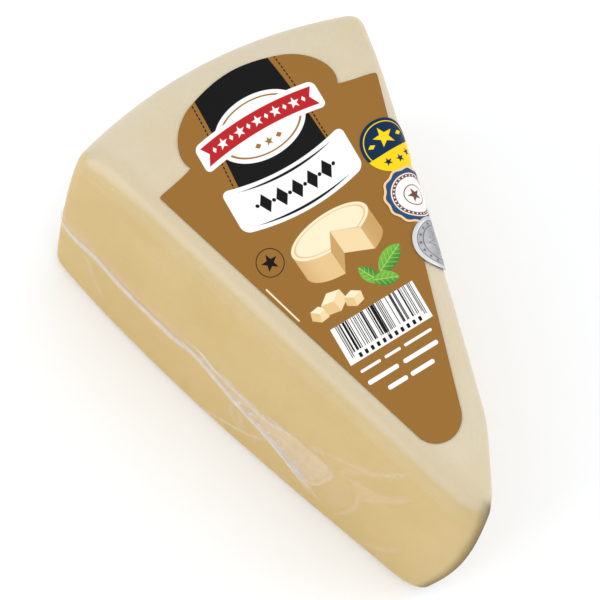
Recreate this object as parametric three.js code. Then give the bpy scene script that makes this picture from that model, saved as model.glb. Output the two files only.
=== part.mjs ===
// A wedge of hard cheese sealed in tight clear film, with a paper label on its top face and
// three round seals folded over the top edge of its far side. Millimetres, +Z up.
// Everything is drawn about the centre of the wheel that the wedge was cut from: the rind lies
// toward -X, the blunt tip toward +X, and the near cut face looks toward -Y. The group that
// holds the pieces then brings the middle of the wedge's base to the origin.
import * as THREE from "three";
import { LoftGeometry } from "three/addons/geometries/LoftGeometry.js";

const { clamp, degToRad, lerp, smoothstep } = THREE.MathUtils;

// --- the wedge ------------------------------------------------------------------------------
const WHEEL_RADIUS = 150;
const HEIGHT = 74;
const HALF_ANGLE = degToRad(16.2);
const TIP_NEAR = 12; // from the wheel's centre to the near end of the cut-off tip
const TIP_FAR = 40.4; // and to its far end
const RIM_REACH = 4.4; // how far the rounding of each rim corner reaches along its sides
const NOSE_REACH = 16.4; // of the tip's near end
const HEEL_REACH = 4.2; // and of its far end
const LEAST_REACH = 2; // the least that any corner's rounding reaches, however far in it lies
const BASE_EDGE = 3; // radius of the bottom edge
const TOP_EDGE = 6; // radius of the top edge

const FOOT_SWELL = 3.6; // the near cut face swells out this far along its foot
const FOOT_SWELL_BIAS = 0.77; // below 1, the fullest place lies toward the rim
const CREST_WAVE = 0.45; // the near face's top edge waves this far either way
const FAR_SWELL = 0.9; // the far face swells out this far at its middle
const SIDE_DEPTH = 14; // these fade out this far in from the faces
const TIP_SWELL = 3.5; // the tip bulges this far at half height
const TIP_SHARE = 0.25; // over this share of the length

const RIM_DEPTH = 25; // the rim's own shape fades out this far in from it
const BELLY_HEIGHT = 0.7 * HEIGHT; // the rim is fullest here
const RIM_TOP_INSET = 0.8; // how far it leans in at the top
const RIM_BASE_INSET = 2; // and at the foot
const RIM_SWELL = 1.1; // how far the rim's middle stands out from the wheel's circle
const SHOULDER_DROP = 3; // how far the top face has fallen at the rim

// --- the fold of spare film that runs along the near face ---------------------------------------
const FOLD_START = 26; // its height from the rim
const FOLD_BEND = 0.33; // as far as here, as a share of the near side
const FOLD_END = 0.66; // where it meets the foot
const FOLD_FOOT = 8; // its height there
const FOLD_WIDTH = 3.2;
const FOLD_RELIEF = 0.7;

// --- the label, in its own frame: u runs along its axis from the apex, v across it -------------
const LABEL_APEX = new THREE.Vector2(-23.4, -0.9); // where its two long edges would meet
const LABEL_TURN = degToRad(1.75); // how far its axis is turned from the wedge's
const LABEL_SKEW = 0.071; // how far it leans along u for each step across v
const LABEL_HALF_ANGLE = degToRad(17.5);
const LABEL_TIP_RADIUS = 6.6;
const LABEL_EAR = new THREE.Vector2(101.8, 32); // u and v of the corner at each side
const LABEL_NOTCH = new THREE.Vector2(104.2, 21.5); // of the notch between ear and arch
const LABEL_ARCH = 120.7; // u of the arch's top
const LABEL_LIFT = 0.25; // clear of the film
const PAPER = 0.15; // thickness of the label and of each seal

// --- the seals: where each sits along the far edge, and how far over it -------------------------
const SEALS = [
  { name: "seal_two_tone", along: 112, over: 0.2, radius: 7, color: 0x17395a, metalness: 0 },
  { name: "seal_rosette", along: 98.4, over: 3.1, radius: 7.4, color: 0xf4efe9, metalness: 0 },
  { name: "seal_medal", along: 85.9, over: 6, radius: 7, color: 0xb4b6b9, metalness: 0.8 },
];
const SEAL_LIFT = 0.55; // of the lowest one, clear of the label
const SEAL_STEP = 0.25; // each next one lies this much higher, over its neighbour's edge

// --- how finely each surface is drawn -------------------------------------------------------------
const NEAR_STEPS = 40;
const FAR_STEPS = 16;
const RIM_STEPS = 22;
const CORNER_STEPS = 4;
const TIP_STEPS = 3;
const BASE_EDGE_STEPS = 3;
const TOP_EDGE_STEPS = 5;
const LOWER_WALL_STEPS = 2;
const UPPER_WALL_STEPS = 5;
const CORE = 0; // stands for the egg-shaped middle that the top face and the label close on
const CORE_SPREAD = 2; // it reaches this many times the root of the outline's own reach
const CORE_RISE = 0.05; // how much prouder it stands
const TOP_RINGS = [0.94, 0.88, 0.81, 0.74, 0.66, 0.55, CORE]; // as shares of the top face's size
const LABEL_STEPS = [5, 8, 2, 5, 8, 5]; // tip, side, ear's corner, ear, arch's side, arch's top
const SEAT_PASSES = 4; // to find the film under the label
const LABEL_RINGS = [CORE, 0.5, 0.6, 0.7, 0.8, 0.9, 1]; // as shares of the label's own size
const SEAL_STEPS = 24;

/** Direction of the near side (-1) or the far side (1) seen from the wheel's centre. */
function sideDirection(side) {
  return new THREE.Vector2(-Math.cos(HALF_ANGLE), side * Math.sin(HALF_ANGLE));
}

/** Unit vector from that side into the wedge. */
function sideInward(side) {
  return new THREE.Vector2(-Math.sin(HALF_ANGLE), -side * Math.cos(HALF_ANGLE));
}

/** Where two edges meet once both have moved in by the inset. */
function insetCorner(corner, inwardOne, inwardTwo, inset) {
  const step = inwardOne.clone().add(inwardTwo).divideScalar(1 + inwardOne.dot(inwardTwo));
  return corner.clone().addScaledVector(step, inset);
}

/** The wedge seen from above, moved in by the inset, anticlockwise from its near rim corner. */
function wedgePlan(inset) {
  const [near, far] = [-1, 1];
  const tipNear = sideDirection(near).multiplyScalar(TIP_NEAR);
  const tipFar = sideDirection(far).multiplyScalar(TIP_FAR);
  const cut = tipFar.clone().sub(tipNear).normalize();
  const cutInward = new THREE.Vector2(-cut.y, cut.x);
  const nose = insetCorner(tipNear, sideInward(near), cutInward, inset);
  const heel = insetCorner(tipFar, cutInward, sideInward(far), inset);
  const radius = WHEEL_RADIUS - inset;
  const rimCorner = (side) =>
    sideDirection(side)
      .multiplyScalar(Math.sqrt(radius ** 2 - inset ** 2))
      .addScaledVector(sideInward(side), inset);

  // A rounding keeps its centre, so its reach along the edges shrinks as they move in.
  const noseAngle = sideDirection(near).angleTo(cut) / 2;
  const noseReach = Math.max(NOSE_REACH - inset / Math.tan(noseAngle), LEAST_REACH);
  const rimReach = Math.max(RIM_REACH - inset, LEAST_REACH);
  const stepBack = (corner, side, reach) =>
    corner.clone().addScaledVector(sideDirection(side), reach);

  const [rimNear, rimFar] = [rimCorner(near), rimCorner(far)];
  const arcAngle = rimFar.angle() + rimReach / radius;
  const start = stepBack(rimNear, near, -rimReach);
  const arcStart = new THREE.Vector2(Math.cos(arcAngle), Math.sin(arcAngle));
  arcStart.multiplyScalar(radius);
  const plan = new THREE.Path();
  plan.moveTo(...start);
  plan.lineTo(...stepBack(nose, near, noseReach));
  plan.quadraticCurveTo(...nose, ...nose.clone().addScaledVector(cut, noseReach));
  plan.lineTo(...heel.clone().addScaledVector(cut, -HEEL_REACH));
  plan.quadraticCurveTo(...heel, ...stepBack(heel, far, HEEL_REACH));
  plan.lineTo(...stepBack(rimFar, far, -rimReach));
  plan.quadraticCurveTo(...rimFar, ...arcStart);
  plan.absarc(0, 0, radius, arcAngle, 2 * Math.PI - arcAngle);
  plan.quadraticCurveTo(...rimNear, ...start);
  return plan;
}

/** Points round the plan at an inset, each curve cut into its own number of steps. */
function planRing(inset) {
  const steps = [
    NEAR_STEPS,
    CORNER_STEPS,
    TIP_STEPS,
    CORNER_STEPS,
    FAR_STEPS,
    CORNER_STEPS,
    RIM_STEPS,
    CORNER_STEPS,
  ];
  return wedgePlan(inset).curves.flatMap((curve, index) =>
    curve.getPoints(steps[index]).slice(0, -1),
  );
}

/** How far along the near side a point lies: 0 at the rim, 1 at the tip. */
function shareAlong(point) {
  const radius = Math.hypot(point.x, point.y);
  return clamp((WHEEL_RADIUS - radius) / (WHEEL_RADIUS - TIP_NEAR), 0, 1);
}

/** 1 on the near (-1) or the far (1) cut face, fading to 0 inside the wedge. */
function sideness(point, side) {
  const depth = sideInward(side).dot(point);
  return 1 - smoothstep(depth, 0, SIDE_DEPTH);
}

/** Height of the film's fold over a point of the outline. */
function foldHeight(point) {
  const fall = clamp((shareAlong(point) - FOLD_BEND) / (FOLD_END - FOLD_BEND), 0, 1);
  return lerp(FOLD_START, FOLD_FOOT, fall ** 1.6);
}

/** How proud the fold stands there: nothing at the rim's corner or once it has met the foot. */
function foldRelief(point) {
  const share = shareAlong(point);
  const fade = smoothstep(share, 0, 0.05) * (1 - smoothstep(share, FOLD_END - 0.06, FOLD_END));
  return FOLD_RELIEF * fade * sideness(point, -1);
}

/** Swells the two cut faces and the tip out of their planes. */
function swellSides(point) {
  const rise = point.z / HEIGHT;
  const share = shareAlong(point);
  const foot = FOOT_SWELL * (1 - rise) * Math.sin(Math.PI * share ** FOOT_SWELL_BIAS);
  const wave = CREST_WAVE * rise * Math.sin(2 * Math.PI * share);
  const near = sideInward(-1).multiplyScalar((wave - foot) * sideness(point, -1));
  const middle = FAR_SWELL * Math.sin(Math.PI * share);
  const far = sideInward(1).multiplyScalar(-middle * sideness(point, 1));
  const tip = TIP_SWELL * Math.sin(Math.PI * rise) * smoothstep(share, 1 - TIP_SHARE, 1);
  point.x += near.x + far.x + tip;
  point.y += near.y + far.y;
  return point;
}

/** Gives the rim its belly, its swollen middle and the top face's fall toward it. */
function shapeRim(point) {
  const radius = Math.hypot(point.x, point.y);
  const rimness = smoothstep(radius, WHEEL_RADIUS - RIM_DEPTH, WHEEL_RADIUS);
  const offBelly = point.z - BELLY_HEIGHT;
  const lean =
    offBelly > 0
      ? RIM_TOP_INSET * (offBelly / (HEIGHT - BELLY_HEIGHT)) ** 2
      : RIM_BASE_INSET * (offBelly / BELLY_HEIGHT) ** 2;
  const aside = clamp(Math.atan2(point.y, -point.x) / HALF_ANGLE, -1, 1);
  const swell = RIM_SWELL * Math.cos((Math.PI / 2) * aside);
  const scale = 1 + ((swell - lean) * rimness) / radius;
  const drop = SHOULDER_DROP * rimness ** 2;
  return point.set(point.x * scale, point.y * scale, point.z * (1 - drop / HEIGHT));
}

/** Gives a point of the straight-sided wedge its real place. */
function settle(point) {
  return shapeRim(swellSides(point));
}

/** A point drawn in about a middle, to its place on a smaller ring or on the core. */
function drawIn(point, middle, scale) {
  const arm = point.clone().sub(middle);
  if (scale === CORE) arm.setLength(CORE_SPREAD * Math.sqrt(arm.length()));
  else arm.multiplyScalar(scale);
  return arm.add(middle);
}

/** How much prouder a ring of that scale stands. */
function coreRise(scale) {
  return scale === CORE ? CORE_RISE : 0;
}

/** The rings of the body from the flat base up: how far each lies in, and its height. */
function bodyRings() {
  const shares = (steps) => Array.from({ length: steps + 1 }, (_, i) => i / steps);
  const between = (steps) => shares(steps).slice(1, -1);
  const base = shares(BASE_EDGE_STEPS).map((share) => ({
    inset: BASE_EDGE * (1 - Math.sin((share * Math.PI) / 2)),
    height: () => BASE_EDGE * (1 - Math.cos((share * Math.PI) / 2)),
  }));
  const below = between(LOWER_WALL_STEPS).map((share) => ({
    inset: 0,
    height: (fold) => lerp(BASE_EDGE, fold - FOLD_WIDTH / 2, share),
  }));
  const fold = [-0.5, 0, 0.5].map((offset) => ({
    inset: 0,
    height: (fold) => fold + offset * FOLD_WIDTH,
    crest: offset === 0,
  }));
  const above = between(UPPER_WALL_STEPS).map((share) => ({
    inset: 0,
    height: (fold) => lerp(fold + FOLD_WIDTH / 2, HEIGHT - TOP_EDGE, share),
  }));
  const top = shares(TOP_EDGE_STEPS).map((share) => ({
    inset: TOP_EDGE * (1 - Math.cos((share * Math.PI) / 2)),
    height: () => HEIGHT - TOP_EDGE * (1 - Math.sin((share * Math.PI) / 2)),
  }));
  return [...base, ...below, ...fold, ...above, ...top];
}

function wedgeGeometry() {
  const outline = planRing(0);
  const walls = bodyRings().map(({ inset, height, crest }) =>
    planRing(inset).map((plan, column) => {
      const proud = crest ? foldRelief(outline[column]) : 0;
      plan.addScaledVector(sideInward(-1), -proud);
      return settle(new THREE.Vector3(plan.x, plan.y, height(foldHeight(outline[column]))));
    }),
  );
  // The top face closes in over the shoulder in rings about its middle, up to where it is flat.
  const middle = new THREE.Vector2(-0.6 * WHEEL_RADIUS, 0);
  const top = TOP_RINGS.map((scale) =>
    planRing(TOP_EDGE).map((point) => {
      const plan = drawIn(point, middle, scale);
      return settle(new THREE.Vector3(plan.x, plan.y, HEIGHT + coreRise(scale)));
    }),
  );
  return new LoftGeometry([...walls, ...top], { capStart: true, capEnd: true });
}

/** Half of the label's outline, from the tip round one ear to the arch's top. */
function labelHalf() {
  const tipCentre = LABEL_TIP_RADIUS / Math.sin(LABEL_HALF_ANGLE);
  const [ear, notch] = [LABEL_EAR, LABEL_NOTCH];
  const half = new THREE.Path();
  half.absarc(tipCentre, 0, LABEL_TIP_RADIUS, Math.PI, Math.PI / 2 + LABEL_HALF_ANGLE, true);
  half.lineTo(ear.x - 1.6, ear.y - 0.5);
  half.quadraticCurveTo(ear.x, ear.y, ear.x + 0.3, ear.y - 1.4);
  half.bezierCurveTo(ear.x + 0.8, ear.y - 4, notch.x - 0.9, notch.y + 2, notch.x, notch.y);
  half.bezierCurveTo(notch.x + 4, notch.y + 2.6, LABEL_ARCH - 5, 20, LABEL_ARCH - 2.5, 12.6);
  half.quadraticCurveTo(LABEL_ARCH, 5.5, LABEL_ARCH, 0);
  return half.curves.flatMap((curve, index) => curve.getPoints(LABEL_STEPS[index]).slice(0, -1));
}

/** The whole outline, anticlockwise when it lies on the wedge. */
function labelOutline() {
  const half = labelHalf();
  const other = half.slice(1).map((p) => new THREE.Vector2(p.x, -p.y));
  const top = new THREE.Vector2(LABEL_ARCH, 0);
  return [...half, top, ...other.reverse()];
}

/** How far the rounded top edges have fallen at a place seen from above. */
function edgeFall(plan) {
  const depth = Math.min(sideInward(-1).dot(plan), sideInward(1).dot(plan));
  const out = clamp(TOP_EDGE - depth, 0, TOP_EDGE);
  return TOP_EDGE - Math.sqrt(TOP_EDGE ** 2 - out ** 2);
}

/** Puts a point of the label's frame on the wedge's top face, lifted clear of it. */
function onTopFace(u, v, lift) {
  const lean = u + LABEL_SKEW * v;
  const place = new THREE.Vector2(-lean, v).rotateAround(new THREE.Vector2(), -LABEL_TURN);
  place.add(LABEL_APEX);
  const source = place.clone(); // the point of the straight-sided wedge that settles there
  let seat;
  for (let pass = 0; pass < SEAT_PASSES; pass++) {
    seat = settle(new THREE.Vector3(source.x, source.y, HEIGHT - edgeFall(source)));
    source.x += place.x - seat.x;
    source.y += place.y - seat.y;
  }
  return new THREE.Vector3(place.x, place.y, seat.z + lift);
}

/** A sheet of paper on the top face: its under side outward, round the edge, and back over it. */
function labelGeometry() {
  const outline = labelOutline();
  const middle = new THREE.Vector2(0.8 * LABEL_EAR.x, 0);
  const under = LABEL_RINGS.map((scale) => [scale, LABEL_LIFT - coreRise(scale)]);
  const over = LABEL_RINGS.map((scale) => [scale, LABEL_LIFT + PAPER + coreRise(scale)]);
  const rings = [...under, ...over.reverse()];
  const sections = rings.map(([scale, lift]) =>
    outline.map((point) => {
      const inner = drawIn(point, middle, scale);
      return onTopFace(inner.x, inner.y, lift);
    }),
  );
  return new LoftGeometry(sections, { capStart: true, capEnd: true });
}

/**
 * A point laid on the top face and folded down over the far side's rounded edge.
 * @param along distance from the wheel's centre along the far side
 * @param over distance past the line where the edge starts to round, along the surface
 * @param lift distance off the surface
 */
function overFarEdge(along, over, lift) {
  const quarter = (TOP_EDGE * Math.PI) / 2;
  const bend = clamp(over, 0, quarter) / TOP_EDGE;
  const flat = Math.min(over, 0);
  const down = Math.max(over - quarter, 0);
  const out = -TOP_EDGE + flat + (TOP_EDGE + lift) * Math.sin(bend);
  const z = HEIGHT - TOP_EDGE - down + (TOP_EDGE + lift) * Math.cos(bend);
  const plan = sideDirection(1).multiplyScalar(along).addScaledVector(sideInward(1), -out);
  return settle(new THREE.Vector3(plan.x, plan.y, z));
}

/** A round seal as a row of strips across the far edge, each as wide as the circle is there. */
function sealGeometry({ along, over, radius }, lift) {
  const sections = Array.from({ length: SEAL_STEPS - 1 }, (_, i) => {
    const angle = ((i + 1) / SEAL_STEPS) * Math.PI;
    const reach = over - radius * Math.cos(angle);
    const half = radius * Math.sin(angle);
    return [
      overFarEdge(along - half, reach, lift),
      overFarEdge(along + half, reach, lift),
      overFarEdge(along + half, reach, lift + PAPER),
      overFarEdge(along - half, reach, lift + PAPER),
    ];
  });
  return new LoftGeometry(sections, { capStart: true, capEnd: true });
}

function piece(name, geometry, color, roughness, metalness = 0) {
  const material = new THREE.MeshStandardMaterial({ color, roughness, metalness });
  const mesh = new THREE.Mesh(geometry, material);
  mesh.name = name;
  return mesh;
}

const pack = new THREE.Group();
pack.add(piece("sealed_wedge", wedgeGeometry(), 0xd9c28e, 0.35));
pack.add(piece("label", labelGeometry(), 0xa07239, 0.45));
SEALS.forEach((seal, index) => {
  const geometry = sealGeometry(seal, SEAL_LIFT + index * SEAL_STEP);
  pack.add(piece(seal.name, geometry, seal.color, 0.4, seal.metalness));
});

// The middle of the wedge's own box, so that the part stands on its origin.
const box = new THREE.Box3().setFromObject(pack.getObjectByName("sealed_wedge"));
const middle = box.getCenter(new THREE.Vector3());
pack.position.set(-middle.x, -middle.y, 0);

const part = new THREE.Group();
part.add(pack);
export default part;
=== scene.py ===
from math import cos, hypot, pi, radians, sin, sqrt, tan

import bmesh
import bpy
import numpy as np
from mathutils import Matrix, Vector


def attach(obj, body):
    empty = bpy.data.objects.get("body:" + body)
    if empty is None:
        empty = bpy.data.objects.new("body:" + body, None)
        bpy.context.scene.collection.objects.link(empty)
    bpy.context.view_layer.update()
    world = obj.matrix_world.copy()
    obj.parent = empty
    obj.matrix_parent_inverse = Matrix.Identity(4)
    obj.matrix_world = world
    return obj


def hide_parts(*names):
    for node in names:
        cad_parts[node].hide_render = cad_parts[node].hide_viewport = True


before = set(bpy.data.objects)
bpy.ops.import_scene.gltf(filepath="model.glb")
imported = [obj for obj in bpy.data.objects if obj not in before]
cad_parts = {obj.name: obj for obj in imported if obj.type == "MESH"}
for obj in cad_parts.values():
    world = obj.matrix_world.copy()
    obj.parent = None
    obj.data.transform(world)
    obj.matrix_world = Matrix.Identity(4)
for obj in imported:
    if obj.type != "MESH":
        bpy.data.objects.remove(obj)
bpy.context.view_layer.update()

# --- The cheese -----------------------------------------------------------------------------
# A wedge sawn from a small wheel of hard cheese, with its thin tip cut off at a slant. The
# wheel's flat face, on top, is a pale dry rind, and the sawn sides are straw yellow, close
# and slightly mealy. It is pressed curd, so its edges are soft and its faces a little swollen.
WHEEL_RADIUS = 0.150
WHEEL_CENTRE = complex(0.08351, 0.00024)
HEIGHT = 0.074
HALF_ANGLE = radians(16.2)
TIP_NEAR = 0.012
TIP_FAR = 0.0404
RIM_REACH = 0.0044
NOSE_REACH = 0.0164
HEEL_REACH = 0.0042
LEAST_REACH = 0.002
BASE_EDGE = 0.003
TOP_EDGE = 0.006
FOOT_SWELL = 0.0036
FOOT_SWELL_BIAS = 0.77
CREST_WAVE = 0.00045
FAR_SWELL = 0.0009
SIDE_DEPTH = 0.014
TIP_SWELL = 0.0035
TIP_SHARE = 0.25
RIM_DEPTH = 0.025
BELLY_HEIGHT = 0.7 * HEIGHT
RIM_TOP_INSET = 0.0008
RIM_BASE_INSET = 0.002
RIM_SWELL = 0.0011
SHOULDER_DROP = 0.003
NEAR, FAR = -1, 1
SLACK = 0.00012  # how far the cheese lies inside its film
SHARP = radians(50)  # a harder bend than this between two faces stays an edge
MIDDLE = -0.6 * WHEEL_RADIUS  # the plan point at which the base and the top close
BASE_SCALES = (0, 0.3, 0.6, 0.85)


def ease(value, low, high):
    """Rises smoothly from 0 at low to 1 at high."""
    share = np.clip((value - low) / (high - low), 0, 1)
    return share * share * (3 - 2 * share)


def side_direction(side):
    """Direction of a sawn side seen from the wheel's centre; plan points are complex numbers."""
    return complex(-cos(HALF_ANGLE), side * sin(HALF_ANGLE))


def side_inward(side):
    return complex(-sin(HALF_ANGLE), -side * cos(HALF_ANGLE))


def depth_in(plan, side):
    """How far in from a sawn side a plan point lies."""
    return (plan * np.conj(side_inward(side))).real


def straight(start, end, steps):
    return start + (end - start) * np.linspace(0, 1, steps, endpoint=False)


def rounded(start, corner, end, steps):
    t = np.linspace(0, 1, steps, endpoint=False)
    return start * (1 - t) ** 2 + 2 * corner * t * (1 - t) + end * t**2


def inset_corner(corner, inward_one, inward_two, inset):
    """Where two edges meet once both have moved in by the inset."""
    bend = 1 + (inward_one * inward_two.conjugate()).real
    return corner + (inward_one + inward_two) / bend * inset


def plan_ring(inset, steps):
    """The wedge seen from above, moved in by the inset, anticlockwise from its near rim corner.

    steps are those of the near side, a corner, the tip's cut, the far side and the rim.
    """
    near_steps, corner_steps, tip_steps, far_steps, rim_steps = steps
    tip_near, tip_far = side_direction(NEAR) * TIP_NEAR, side_direction(FAR) * TIP_FAR
    cut = (tip_far - tip_near) / abs(tip_far - tip_near)
    nose = inset_corner(tip_near, side_inward(NEAR), cut * 1j, inset)
    heel = inset_corner(tip_far, cut * 1j, side_inward(FAR), inset)
    radius = WHEEL_RADIUS - inset
    along = sqrt(radius**2 - inset**2)
    rim_near = side_direction(NEAR) * along + side_inward(NEAR) * inset
    rim_far = side_direction(FAR) * along + side_inward(FAR) * inset
    nose_angle = abs(np.angle(side_direction(NEAR) / cut)) / 2
    nose_reach = max(NOSE_REACH - inset / tan(nose_angle), LEAST_REACH)
    rim_reach = max(RIM_REACH - inset, LEAST_REACH)
    arc_angle = np.angle(rim_far) + rim_reach / radius
    arc = radius * np.exp(1j * straight(arc_angle, 2 * pi - arc_angle, rim_steps))
    arc_end = radius * np.exp(-1j * arc_angle)
    start = rim_near - side_direction(NEAR) * rim_reach
    nose_start = nose + side_direction(NEAR) * nose_reach
    nose_end = nose + cut * nose_reach
    heel_start = heel - cut * HEEL_REACH
    heel_end = heel + side_direction(FAR) * HEEL_REACH
    far_end = rim_far - side_direction(FAR) * rim_reach
    return np.concatenate([
        straight(start, nose_start, near_steps),
        rounded(nose_start, nose, nose_end, 2 * corner_steps),
        straight(nose_end, heel_start, tip_steps),
        rounded(heel_start, heel, heel_end, corner_steps),
        straight(heel_end, far_end, far_steps),
        rounded(far_end, rim_far, arc[0], corner_steps),
        arc,
        rounded(arc_end, rim_near, start, corner_steps),
    ])


def share_along(plan):
    """How far along the near side a point lies: 0 at the rim, 1 at the tip."""
    return np.clip((WHEEL_RADIUS - abs(plan)) / (WHEEL_RADIUS - TIP_NEAR), 0, 1)


def sideness(plan, side):
    """1 on a sawn side, fading to 0 inside the wedge."""
    return 1 - ease(depth_in(plan, side), 0, SIDE_DEPTH)


def settle(plan, z):
    """Gives points of the straight-sided wedge their real places, about the wheel's centre."""
    rise, share = z / HEIGHT, share_along(plan)
    foot = FOOT_SWELL * (1 - rise) * np.sin(pi * share**FOOT_SWELL_BIAS)
    wave = CREST_WAVE * rise * np.sin(2 * pi * share)
    middle = FAR_SWELL * np.sin(pi * share)
    swollen = plan + side_inward(NEAR) * (wave - foot) * sideness(plan, NEAR)
    swollen = swollen - side_inward(FAR) * middle * sideness(plan, FAR)
    swollen = swollen + TIP_SWELL * np.sin(pi * rise) * ease(share, 1 - TIP_SHARE, 1)
    radius = abs(swollen)
    rimness = ease(radius, WHEEL_RADIUS - RIM_DEPTH, WHEEL_RADIUS)
    off_belly = z - BELLY_HEIGHT
    lean = np.where(
        off_belly > 0,
        RIM_TOP_INSET * (off_belly / (HEIGHT - BELLY_HEIGHT)) ** 2,
        RIM_BASE_INSET * (off_belly / BELLY_HEIGHT) ** 2,
    )
    aside = np.clip(np.angle(-np.conj(swollen)) / HALF_ANGLE, -1, 1)
    swell = RIM_SWELL * np.cos(pi / 2 * aside)
    scale = 1 + (swell - lean) * rimness / radius
    return swollen * scale, z * (1 - SHOULDER_DROP * rimness**2 / HEIGHT)


def in_row(plan, z):
    """Puts plan points and heights into the row's frame, as an array of places."""
    plan = plan + WHEEL_CENTRE
    return np.stack([plan.real, plan.imag, z + 0 * plan.real], axis=-1)


def wedge_rows(steps, foot_steps, heights, edge_steps, top_scales):
    """Rows of places up the wedge: its base, the wall at the given heights, and its top."""

    def row(inset, z, scale=1.0):
        ring = plan_ring(inset, steps)
        return in_row(*settle(MIDDLE + (ring - MIDDLE) * scale, z + 0 * ring.real))

    rows = [row(BASE_EDGE, 0, scale) for scale in BASE_SCALES]
    for turn in np.linspace(0, pi / 2, foot_steps):
        rows.append(row(BASE_EDGE * (1 - sin(turn)), BASE_EDGE * (1 - cos(turn))))
    rows += [row(0, z) for z in heights]
    for turn in np.linspace(0, pi / 2, edge_steps):
        rows.append(row(TOP_EDGE * (1 - cos(turn)), HEIGHT - TOP_EDGE * (1 - sin(turn))))
    rows += [row(TOP_EDGE, HEIGHT, scale) for scale in top_scales]
    return np.array(rows)


def wrapped(name, places, print_places=None):
    """A closed skin from a grid whose rows run round it and whose two ends are drawn together."""
    rows, columns = places.shape[:2]
    skin = bmesh.new()
    bmesh.ops.create_grid(skin, x_segments=columns, y_segments=rows - 1, size=0.5)
    index = {
        vert: (round((vert.co.y + 0.5) * (rows - 1)), round((vert.co.x + 0.5) * columns))
        for vert in skin.verts
    }
    if print_places is not None:
        layer = skin.loops.layers.uv.new("print")
        for face in skin.faces:
            for loop in face.loops:
                row, column = index[loop.vert]
                loop[layer].uv = print_places[row, column % columns]
    for vert, (row, column) in index.items():
        vert.co = places[row, column % columns]
    bmesh.ops.remove_doubles(skin, verts=skin.verts, dist=1e-6)
    mesh = bpy.data.meshes.new(name)
    skin.to_mesh(mesh)
    skin.free()
    mesh.shade_smooth()
    mesh.set_sharp_from_angle(angle=SHARP)
    piece = bpy.data.objects.new(name, mesh)
    bpy.context.scene.collection.objects.link(piece)
    return piece


def read_points(mesh, kind="co"):
    """The mesh's points, or with kind "normal" their normals, as an array."""
    points = np.zeros(len(mesh.vertices) * 3)
    mesh.vertices.foreach_get(kind, points)
    return points.reshape(-1, 3)


def push_points(mesh, distance):
    """Moves each point out along its normal."""
    places = read_points(mesh) + read_points(mesh, "normal") * np.reshape(distance, (-1, 1))
    mesh.vertices.foreach_set("co", places.ravel())
    mesh.update()


class Signal:
    """One output in a finish's node tree. Arithmetic on it adds Math nodes."""

    def __init__(self, finish, socket):
        self.finish = finish
        self.socket = socket

    def maths(self, operation, *values):
        return self.finish.node("Math", {"operation": operation}, dict(enumerate(values)))

    def __add__(self, other):
        return self.maths("ADD", self, other)

    def __sub__(self, other):
        return self.maths("SUBTRACT", self, other)

    def __mul__(self, other):
        return self.maths("MULTIPLY", self, other)

    def __truediv__(self, other):
        return self.maths("DIVIDE", self, other)

    def __pow__(self, other):
        return self.maths("POWER", self, other)

    def __rsub__(self, other):
        return self.maths("SUBTRACT", other, self)

    def __abs__(self):
        return self.maths("ABSOLUTE", self)

    def __neg__(self):
        return self * -1

    __radd__ = __add__
    __rmul__ = __mul__

    def least(self, other):
        return self.maths("MINIMUM", self, other)

    def most(self, other):
        return self.maths("MAXIMUM", self, other)

    def repeat(self, span):
        """Runs from -span/2 to span/2 over and over."""
        return self.maths("WRAP", self, span / 2, -span / 2)

    def fade(self, start, end):
        """0 at start, 1 at end, smoothly, and held beyond them."""
        sockets = {"Value": self, "From Min": start, "From Max": end}
        return self.finish.node("MapRange", {"interpolation_type": "SMOOTHSTEP"}, sockets)


class Finish:
    """A material; every node in it is added by one method."""

    def __init__(self, name):
        self.material = bpy.data.materials.new(name)
        self.material.use_nodes = True
        self.tree = self.material.node_tree
        self.tree.nodes.clear()

    def node(self, kind, settings=None, sockets=None, output=0):
        added = self.tree.nodes.new("ShaderNode" + kind)
        for name, value in (settings or {}).items():
            setattr(added, name, value)
        for name, value in (sockets or {}).items():
            if isinstance(value, Signal):
                self.tree.links.new(value.socket, added.inputs[name])
            else:
                added.inputs[name].default_value = value
        return Signal(self, added.outputs[output]) if added.outputs else None

    def place(self):
        return self.node("TexCoord", output="Object")

    def parts(self, vector):
        """The three numbers of a vector."""
        first = self.node("SeparateXYZ", sockets={0: vector})
        return [Signal(self, socket) for socket in first.socket.node.outputs]

    def noise(self, vector, scale, detail=2.0, roughness=0.5):
        sockets = {"Vector": vector, "Scale": scale, "Detail": detail, "Roughness": roughness}
        return self.node("TexNoise", sockets=sockets)

    def mix(self, start, end, share):
        sockets = {0: share, 6: start, 7: end}
        return self.node("Mix", {"data_type": "RGBA"}, sockets, output=2)

    def length(self, across, up):
        sockets = {0: self.node("CombineXYZ", sockets={0: across, 1: up})}
        return self.node("VectorMath", {"operation": "LENGTH"}, sockets, output="Value")

    def bump(self, height, distance, strength=1.0):
        sockets = {"Height": height, "Distance": distance, "Strength": strength}
        return self.node("Bump", sockets=sockets)

    def shader(self, sockets):
        return self.node("BsdfPrincipled", sockets=sockets)

    def dress(self, piece, shader):
        """Ends the node tree in a shader and gives the material to a piece."""
        self.node("OutputMaterial", sockets={"Surface": shader})
        piece.data.materials.clear()
        piece.data.materials.append(self.material)


def colour(red, green, blue):
    """A colour given as it shows on a screen, 0 to 255, in the linear form that nodes take."""
    shares = [value / 255 for value in (red, green, blue)]
    return (*[s / 12.92 if s < 0.04045 else ((s + 0.055) / 1.055) ** 2.4 for s in shares], 1)


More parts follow.
